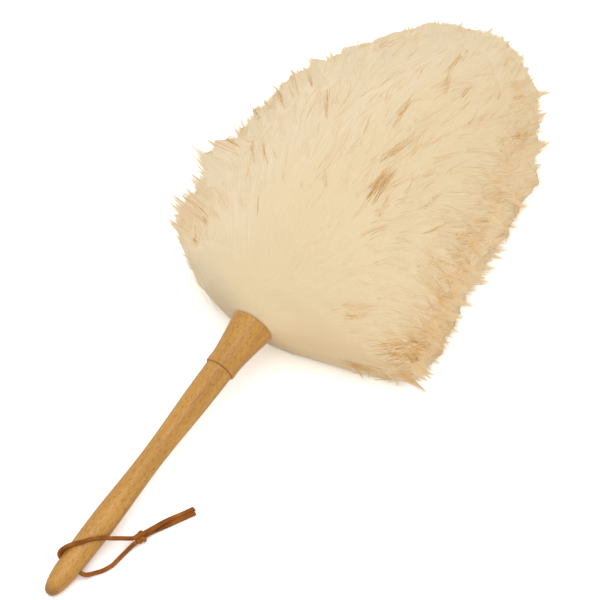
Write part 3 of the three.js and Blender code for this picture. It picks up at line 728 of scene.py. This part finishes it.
def fleece(look):
    """The closed body of matted wool under the strands, with its bore for the core."""
    rows, columns, bore_rows = 150, 180, 14
    rim_gap, bore_room, bore_point = 0.0002, 0.003, 0.0045
    q = np.linspace(0, 0.995, rows)
    angle = np.arange(columns) / columns * 2 * math.pi
    depth = FLEECE_DEPTH + FLEECE_SIDE_DEPTH * smoothstep(0.75, 0.2, np.sin(angle))
    outer = pile_surface(q[:, None], angle[None, :], depth * smoothstep(0, 0.06, q)[:, None])
    outer[..., 0] += rim_gap * (1 - q[:, None])
    reach = CORE_REACH + bore_room
    x = np.linspace(outer[0, 0, 0], reach, bore_rows)
    across, above = WOOL_BORE * np.cos(angle), WOOL_BORE * np.sin(angle)
    bore = np.stack(np.broadcast_arrays(x[:, None], across, above), -1)
    rings = np.concatenate([bore[::-1], outer])
    poles = np.array([[reach + bore_point, 0, 0], outer[-1].mean(0)])
    points = to_row(np.vstack([rings.reshape(-1, 3), poles]))
    points[:, 2] = np.maximum(points[:, 2], FLEECE_FLOOR)
    faces = closed_triangles(len(rings), columns)
    u = np.abs(np.arange(columns) / columns * 2 - 1)
    v = np.concatenate([np.zeros(bore_rows), q])
    uv = np.vstack([np.stack(np.meshgrid(u, v), -1).reshape(-1, 2), [[0.5, 0], [0.5, 1]]])
    inward = -bore * (0, 1, 1)
    outward = lifted_normals(surface_frame(q[:, None], angle[None, :])[1])
    normals = np.vstack([unit(turned_to_row(inward)).reshape(-1, 3), outward.reshape(-1, 3), -ALONG, ALONG])
    return mesh_object("wool_fleece", points, faces, look, uv, normals=normals[faces.ravel()])


class Strands:
    """Strands of wool, each a line of points from its root to its tip."""

    def __init__(self):
        self.parts = []

    def add(self, lines, normals, radii, tones, roundness=0.0):
        self.parts.append((lines, normals, radii, np.clip(tones, 0, 0.999), np.full(len(lines), roundness)))

    def all(self):
        return [np.concatenate(v) for v in zip(*self.parts)]


def bent(roots, bends, tips):
    t = STEPS[:, None]
    return (1 - t) ** 2 * roots[:, None] + 2 * t * (1 - t) * bends[:, None] + t ** 2 * tips[:, None]


def strand_triangles():
    """Triangles of one three-sided strand, and which of them are on its flat side."""
    triangles, flat = [(0, 1, 2)], []
    for i in range(STRAND_RINGS - 1):
        for k in range(3):
            a, b = 3 * i + k, 3 * i + (k + 1) % 3
            triangles += [(a, b + 3, b), (a, a + 3, b + 3)]
        flat += [len(triangles) - 2, len(triangles) - 1]
    last = 3 * (STRAND_RINGS - 1)
    triangles += [(last + k, last + 3, last + (k + 1) % 3) for k in range(3)]
    return np.array(triangles), flat + [len(triangles) - 1]


def strand_arrays(lines, normals, radii, tones, roundness):
    """Points, triangles, UVs and shading normals of three-sided strands, with their flat side to the pile.
    roundness turns the shading of sides that face into the pile back to their own way."""
    n = len(lines)
    line = to_row(lines)
    line[..., 2] = np.maximum(line[..., 2], radii[:, None] + STRAND_FLOOR)
    tangent = unit(np.gradient(line, axis=1))
    side = unit(np.cross(tangent, turned_to_row(normals)[:, None]))
    up = np.cross(side, tangent)
    radius = radii[:, None] * (1 - 0.92 * STEPS[:-1] ** 1.8)
    corners = [
        line[:, :-1] + (side[:, :-1] * wide + up[:, :-1] * high) * radius[..., None]
        for wide, high in ((1.2, -0.4), (0, 0.7), (-1.2, -0.4))
    ]
    rings = np.stack(corners, 2).reshape(n, STRAND_RINGS * 3, 3)
    points = np.concatenate([rings, line[:, -1:]], 1)
    per = points.shape[1]
    one, flat = strand_triangles()
    triangles = (one[None] + (np.arange(n) * per)[:, None, None]).reshape(-1, 3)
    row = np.floor(tones * TONE_ROWS)
    u = np.concatenate([np.repeat(np.arange(STRAND_RINGS) / STRAND_RINGS, 3), [1.0]])
    v = np.concatenate([np.tile([0.15, 0.5, 0.85], STRAND_RINGS), [0.5]])
    uv = np.stack(np.broadcast_arrays(u, (row[:, None] + v) / TONE_ROWS), -1)
    shade = np.repeat(lifted_normals(normals)[:, None], per, 1)
    radial = unit(rings - np.repeat(line[:, :-1], 3, 1))
    facing = (radial * shade[:, :-1]).sum(-1)
    shade[:, :-1] += (STRAND_ROUNDNESS + roundness[:, None] * np.maximum(-facing, 0))[..., None] * radial
    corner = unit(shade)[:, one]
    corner[:, flat] = -up[:, one[flat] // 3]
    return points.reshape(-1, 3), triangles, uv.reshape(-1, 2), corner.reshape(-1, 3)


def sample_places(n, random):
    """Places on the pile, evenly spread over its surface, with fewer under it."""
    tries, under_share = 4 * n, 0.25
    q = np.linspace(0.01, 0.995, 600)
    share = np.cumsum(outline_at(q)[1] + 0.006)
    picked = np.interp(random.uniform(0, share[-1], tries), share, q)
    angle = random.uniform(0, 2 * math.pi, tries)
    keep = random.uniform(0, 1, tries) < np.where(np.sin(angle) < -0.3, under_share, 1.0)
    return picked[keep][:n], angle[keep][:n]


def distance_from_collar(places):
    return np.linalg.norm(places - FAN_POINT, axis=-1)


def places_off_collar(n, near, far, random):
    """Places on the pile that set in between two distances from the collar."""
    q, angle = sample_places(n, random)
    distance = distance_from_collar(pile_surface(q, angle))
    keep = random.uniform(0, 1, n) < smoothstep(near, far, distance)
    return q[keep], angle[keep]


def tan_and_shade_share(places):
    """How tan the hair is at places of the pile: partly its own tan, partly painted shade in gaps and at low
    edges.
    """
    share = np.zeros(len(places))
    for q, degrees, radius, strength in TAN_AND_SHADE_ZONES:
        centre = pile_surface(q, math.radians(degrees))
        near = np.linalg.norm(places - centre, axis=-1) / (radius / 1000)
        share += strength * np.exp(-0.7 * near ** 2)
    return np.minimum(share, 1)


def painted_light_share(places):
    """How much painted light pales the hair at places of the pile: more to the left and to the tip."""
    return smoothstep(-0.02, 0.03, places[:, 1] + 0.3 * (places[:, 0] - 0.12))


def pile_tones(places):
    # The pile's own cream, darker with tan hair and painted shade, and paler with painted light at the left and
    # tip
    return 0.22 + 0.36 * tan_and_shade_share(places) - 0.17 * painted_light_share(places)


def end_tones(places, mean, pale, random):
    """Tones of hair ends at places of the pile, darker with tan hair and painted shade, paler with painted
    light.
    """
    n = len(places)
    return random.normal(mean, 0.07, n) + random.uniform(0.2, 0.6, n) * tan_and_shade_share(places) \
        - pale * painted_light_share(places)


def lay_flat(strands, lines, normals, depth, radii, tones):
    """Adds strands that lie along the pile at a depth, with both ends tucked under their neighbours."""
    dive = depth[:, None] + COAT_TUCK * (2 * STEPS - 1) ** 4
    strands.add(lines - normals * dive[..., None], normals[:, MIDDLE], radii, tones)


def coat(strands, random, n=22000):
    """Long strands that lie flat along the pile, a share of them from the collar on."""
    q, angle = sample_places(n, random)
    at_collar = random.uniform(0, 1, n) < 0.2
    q = np.where(at_collar, random.uniform(0.002, 0.04, n), q)
    length = random.uniform(0.035, 0.07, n)
    lines, normals = along_hair(q, angle, length)
    depth = random.uniform(0.0005, 0.0009, n)
    radii = random.uniform(*COAT_RADIUS, n)
    tones = pile_tones(lines[:, MIDDLE]) + random.normal(0, 0.03, n)
    lay_flat(strands, lines, normals, depth, radii, tones)


def low_coat(strands, random, n=1600):
    """Strands of the coat low on the pile, at its tip and at the collar."""
    at_tip = random.uniform(0, 1, n) < 0.5
    q = np.where(at_tip, random.uniform(0.84, 0.99, n), random.uniform(0.01, 0.2, n))
    across = random.uniform(-1, 1, n)
    angle = 2 * math.pi - np.arccos(np.sign(across) * across ** 4)
    length = random.uniform(0.012, 0.03, n)
    lines, normals = along_hair(q, angle, length)
    depth = random.uniform(0.0004, 0.0008, n)
    tones = pile_tones(lines[:, MIDDLE]) + random.normal(0, 0.04, n)
    radii = random.uniform(*COAT_RADIUS, n)
    lay_flat(strands, lines, normals, depth, radii, tones)


def loose_ends(strands, random, n=5000):
    """Hair ends that lie along the pile, with their tips lifted off it a little."""
    q, angle = places_off_collar(n, 0.07, 0.15, random)
    n = len(q)
    length = random.uniform(0.02, 0.04, n)
    lines, normals = along_hair(q, angle, length)
    tip_lift, root_depth = random.uniform(-0.0006, 0.0002, n), 0.0014
    lift = tip_lift[:, None] * STEPS ** 2 - root_depth * (1 - STEPS) ** 2
    tones = end_tones(lines[:, -1], 0.24, 0.15, random)
    radii = random.uniform(*LOCK_RADIUS, n)
    strands.add(lines + normals * lift[..., None], normals[:, -1], radii, tones)


def side_places(n, low, high, random):
    """Places on the pile's sides and tip, where the hair leaves it at an angle, with their directions."""
    collar_room = 0.065
    q, angle = sample_places(n, random)
    place, normal, forward = surface_frame(q, angle)
    outward = hair_way(place)
    keep = random.uniform(0, 1, n) < smoothstep(low, high, (normal * outward).sum(-1))
    keep &= distance_from_collar(place) > collar_room
    return [v[keep] for v in (place, normal, forward, outward)]


def side_ends(strands, random, n=14000):
    """Hair ends on the pile's sides and tip."""
    place, normal, forward, outward = side_places(n, 0.2, 0.55, random)
    n = len(place)
    lie = unit(outward + random.uniform(0.4, 1.4, n)[:, None] * forward + random.normal(0, 0.08, (n, 3)))
    length = random.uniform(0.012, 0.026, n)[:, None]
    reach = random.uniform(-0.002, 0.003, n)[:, None]
    bow = random.uniform(0, 0.0012, n)[:, None]
    tips = place + lie * reach
    bends = tips - lie * length * 0.45 + normal * bow
    tones = end_tones(place, 0.25, 0.12, random)
    radii = random.uniform(0.00016, 0.00026, n)
    strands.add(bent(tips - lie * length, bends, tips), normal, radii, tones)


def locks(strands, random, count, root, tip, normal, spread, tones, core_tan_and_shade_tones):
    """Locks of count strands each, as wide as spread at the root and drawn to a point at the tip. The strands
    in the core have a tone of their own: partly tan hair and partly painted shade inside the lock."""
    n = len(root)
    axis = tip - root
    length = np.linalg.norm(axis, axis=-1, keepdims=True)
    side = unit(np.cross(axis, normal))
    lift = np.cross(side, axis / length)
    turn = random.uniform(0, 2 * math.pi, (n, count, 1))
    off = np.sqrt(random.uniform(0, 1, (n, count, 1)))
    around = side[:, None] * np.cos(turn) + 0.6 * lift[:, None] * np.sin(turn)
    lateral = around * off * spread[:, None, None]
    end = 1 - 0.6 * off * random.uniform(0.3, 1, (n, count, 1))
    sway = side * length * random.normal(0, 0.06, (n, 1))
    frizz = random.normal(0, 0.0003, (n, count, 1, 3))
    t = STEPS[:, None]
    p = end[:, :, None] * t
    lines = root[:, None, None] + axis[:, None, None] * p \
        + lateral[:, :, None] * (1 - 0.78 * p) * (1 + 0.3 * p) \
        + sway[:, None, None] * (4 * p * (1 - p)) + frizz * t ** 2
    radii = random.uniform(*LOCK_RADIUS, n * count)
    tone = np.where(off[..., 0] < 0.5, core_tan_and_shade_tones[:, None], tones[:, None])
    tone = tone + random.normal(0, 0.06, (n, count))
    upward = np.repeat(unit(normal + (0, 0, 1.5)), count, 0)
    strands.add(lines.reshape(n * count, -1, 3), upward, radii, tone.ravel(), LOCK_ROUNDNESS)


def fringe(strands, random, n=3000, count=24):
    """Pointed locks that lie along the pile's sides and tip and lift their points off them."""
    place, normal, _, outward = side_places(n, 0.4, 0.7, random)
    n = len(place)
    flow = laid_on(outward, normal)
    lie = unit(outward + random.uniform(0, 0.5, n)[:, None] * flow + random.normal(0, 0.1, (n, 3)))
    waves = np.sin(place * (210, 260, 230) + (1.0, 2.0, 4.4)) + np.sin(place[:, [2, 0, 1]] * (150, 330, 290))
    patch = 0.5 + waves.sum(-1) / 7
    reach = random.uniform(0.004, 0.013, n) * (0.55 + np.clip(patch, 0, 1))
    root_reach, root_depth = random.uniform(0.007, 0.011, n), 0.0045
    tip = place + lie * reach[:, None]
    root = place - lie * root_reach[:, None] - normal * root_depth
    tones = pile_tones(place) + random.uniform(0, 0.12, n)
    # The cores are darker, partly by tan hair and partly by painted shade inside the locks
    core_tan_and_shade_tones = tones + np.where(random.uniform(0, 1, n) < 0.2, 0.2, 0.03) + 0.15 * tan_and_shade_share(place)
    spread = random.uniform(0.0018, 0.0046, n)
    locks(strands, random, count, root, tip, normal, spread, tones, core_tan_and_shade_tones)


def edge_locks(strands, random, count=40, sizes=(1.5, 1.25, 1.0, 0.8)):
    """The locks that stand out of the pile's edge in the photograph."""
    stray, root_reach, root_depth = 0.0022, 0.009, 0.005
    table = np.array(EDGE_LOCKS, float)
    place, normal, _ = surface_frame(table[:, 0], np.radians(table[:, 1]))
    reach = table[:, 2:5] / 1000
    length = np.linalg.norm(reach, axis=-1)
    side = unit(np.cross(reach, normal))
    spread = 0.0016 + 0.1 * length
    tones = pile_tones(place)
    # Cores 0.12 darker than the pile are painted shade inside the locks; a tone in the table is tan hair with
    # painted shade
    core_tan_and_shade_tones = np.where(table[:, 5] == 0, tones + 0.12, table[:, 5])
    for size in sizes:
        beside = side * (random.normal(0, stray, len(table)) * (1.6 - size))[:, None]
        way = reach * size + side * (random.normal(0, 0.12, len(table)) * length)[:, None]
        root = place + beside - unit(way) * root_reach - normal * root_depth
        tip = place + beside + way
        locks(strands, random, count, root, tip, normal, spread, tones + 0.04, core_tan_and_shade_tones)


def hair_groups(strands, q, angle, hairs, length, width, tones, random):
    """Groups of hairs that lie on the pile, a little aslant to its flow, and come out at their roots."""
    n = len(q)
    each = np.repeat(np.arange(n), hairs)
    total = len(each)
    size = length[each] * random.uniform(0.7, 1.1, total)
    lines, normals = along_hair(q[each] + random.normal(0, 0.006, total), angle[each], size)
    side = unit(np.cross(lines[:, -1] - lines[:, 0], normals[:, MIDDLE]))
    slant = random.normal(0, 0.14, n)[each] + random.normal(0, 0.03, total)
    bow = random.normal(0, 0.2, n)[each] + random.normal(0, 0.05, total)
    aside = (random.uniform(-0.5, 0.5, total) * width[each])[:, None] * (1 - 0.5 * STEPS) \
        + size[:, None] * (slant[:, None] * STEPS + bow[:, None] * STEPS ** 2)
    lines = lines + side[:, None] * aside[..., None] + normals * HAIR_LIFT[:, None]
    radii = random.uniform(*HAIR_RADIUS, total)
    strands.add(lines, normals[:, MIDDLE], radii, tones[each] + random.normal(0, 0.06, total))


def hair_and_groove_shade_lines(strands, random, n=1000, hairs=3):
    """Fine darker hairs that show the flow of the pile, partly tan hair and partly painted shade of the grooves
    between locks.
    """
    q, angle = places_off_collar(n, 0.05, 0.16, random)
    n = len(q)
    length, width = random.uniform(0.016, 0.042, n), random.uniform(0.0006, 0.0026, n)
    tones = random.uniform(0.4, 0.7, n)
    hair_groups(strands, q, angle, hairs, length, width, tones, random)


def zone_tufts(strands, random, n=3000, hairs=6):
    """Tufts of tan hair and of painted shade in the zones of tan and painted shade."""
    q, angle = sample_places(n, random)
    share = tan_and_shade_share(pile_surface(q, angle))
    keep = random.uniform(0, 1, n) < share
    q, angle, share = q[keep], angle[keep], share[keep]
    n = len(q)
    length, width = random.uniform(0.009, 0.02, n), random.uniform(0.001, 0.0035, n)
    tones = 0.42 + random.uniform(0.05, 0.4, n) * share
    hair_groups(strands, q, angle, hairs, length, width, tones, random)


def tan_and_shade_tufts(strands, random, rows=FACE_TUFTS):
    """Tufts of tan hair and of painted shade on the pile, each from a row's root to its tip. FACE_TUFTS are
    those in the photograph.
    """
    for q0, degrees0, q1, degrees1, width, tone in rows:
        hairs = 8 + round(0.9 * width ** 2 + 4 * width)
        start = random.uniform(-0.25, 0.5, (hairs, 1))
        s = start + random.uniform(0.5, 0.95, (hairs, 1)) * STEPS
        place, normal, _ = surface_frame(q0 + (q1 - q0) * s, np.radians(degrees0 + (degrees1 - degrees0) * s))
        side = unit(np.cross(place[:, -1] - place[:, 0], normal[:, 0]))
        across = random.normal(0, 0.0004, (hairs, 1)) * width * (1.2 - 0.4 * s) \
            + random.normal(0, 0.0013, (hairs, 1)) * STEPS ** 2
        lines = place + side[:, None] * across[..., None] + normal * HAIR_LIFT[:, None]
        tones = 0.28 + (tone - 0.28) * random.uniform(0.6, 1.3, hairs) + random.normal(0, 0.04, hairs)
        strands.add(lines, normal[:, MIDDLE], random.uniform(*HAIR_RADIUS, hairs), tones)


def unseen_tufts(strands, random, n=60):
    """Tufts on the underside and the left side, which the photograph doesn't show."""
    q, degrees = random.uniform(0.2, 0.8, n), random.uniform(-150, 25, n)
    rows = np.stack([
        q, degrees, q + random.uniform(0.03, 0.06, n), degrees + random.normal(0, 4, n),
        random.uniform(1.2, 4, n), random.uniform(0.35, 0.85, n),
    ], 1)
    tan_and_shade_tufts(strands, random, rows)


def stray_hairs(strands, random, n=200):
    """Single hairs that stand out of the pile."""
    collar_room, root_reach, radius = 0.12, 0.012, 0.00016
    q, angle = sample_places(n, random)
    keep = (distance_from_collar(pile_surface(q, angle)) > collar_room) & (np.sin(angle) > -0.2)
    q, angle = q[keep], angle[keep]
    n = len(q)
    place, normal, forward = surface_frame(q, angle)
    lie = unit(hair_way(place) + 0.5 * forward + random.normal(0, 0.35, (n, 3)))
    tips = place + lie * random.uniform(0.004, 0.013, n)[:, None]
    bends = place + normal * 0.002 + random.normal(0, 0.002, (n, 3))
    lines = bent(place - lie * root_reach, bends, tips)
    strands.add(lines, normal, np.full(n, radius), random.uniform(0.2, 0.5, n))


def wool(look_fleece, look_strands):
    """The fleece and its strands, which are shared out in pieces by their places around the pile."""
    random = np.random.default_rng(7)
    body = fleece(look_fleece)
    strands = Strands()
    for grow in (coat, loose_ends, side_ends, fringe, edge_locks, hair_and_groove_shade_lines, zone_tufts, tan_and_shade_tufts, unseen_tufts,
                 stray_hairs, low_coat):
        grow(strands, random)
    arrays = strands.all()
    order = np.argsort(np.arctan2(arrays[0][:, -1, 2], arrays[0][:, -1, 1]), kind="stable")
    pieces = []
    for part in np.array_split(order, math.ceil(len(order) / STRANDS_PER_PIECE)):
        points, triangles, uv, normals = strand_arrays(*[v[part] for v in arrays])
        name = f"wool_strands_{len(pieces) + 1:02d}"
        obj = mesh_object(name, points, triangles, look_strands, uv, normals=normals)
        obj.visible_shadow = False
        obj.visible_diffuse = False
        pieces.append(obj)
    for obj in pieces + [body]:
        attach(obj, "duster")
        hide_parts("wool_pile")


# Pieces from the CAD model

def dress(name, look, smooth_angle=math.radians(32)):
    """Gives a CAD node its material and smooth turned faces."""
    obj = frame["nodes"][name]
    mesh = obj.data
    mesh.materials.clear()
    mesh.materials.append(look)
    mesh.polygons.foreach_set("use_smooth", np.ones(len(mesh.polygons), bool))
    mesh.attributes.remove(mesh.attributes["custom_normal"])
    mesh.attributes["sharp_edge"].data.foreach_set("value", np.zeros(len(mesh.edges), bool))
    weld = obj.modifiers.new("weld", "WELD")
    weld.merge_threshold = 1e-5
    split = obj.modifiers.new("crisp_edges", "EDGE_SPLIT")
    split.split_angle = smooth_angle


make_camera()
make_light()
make_floor()
thong(thong_leather())
for look, names in (
    (beech(), ("handle", "collar")),
    (raw_wood(), ("head_core",)),
    (lambskin(), ("skin_strip", "skin_tip_cap")),
    (tack_steel(), ("strip_tack_collar_end", "strip_tack_tip_end", "tip_cap_tack")),
):
    for name in names:
        dress(name, look)
wool(fleece_wool(), strand_wool())
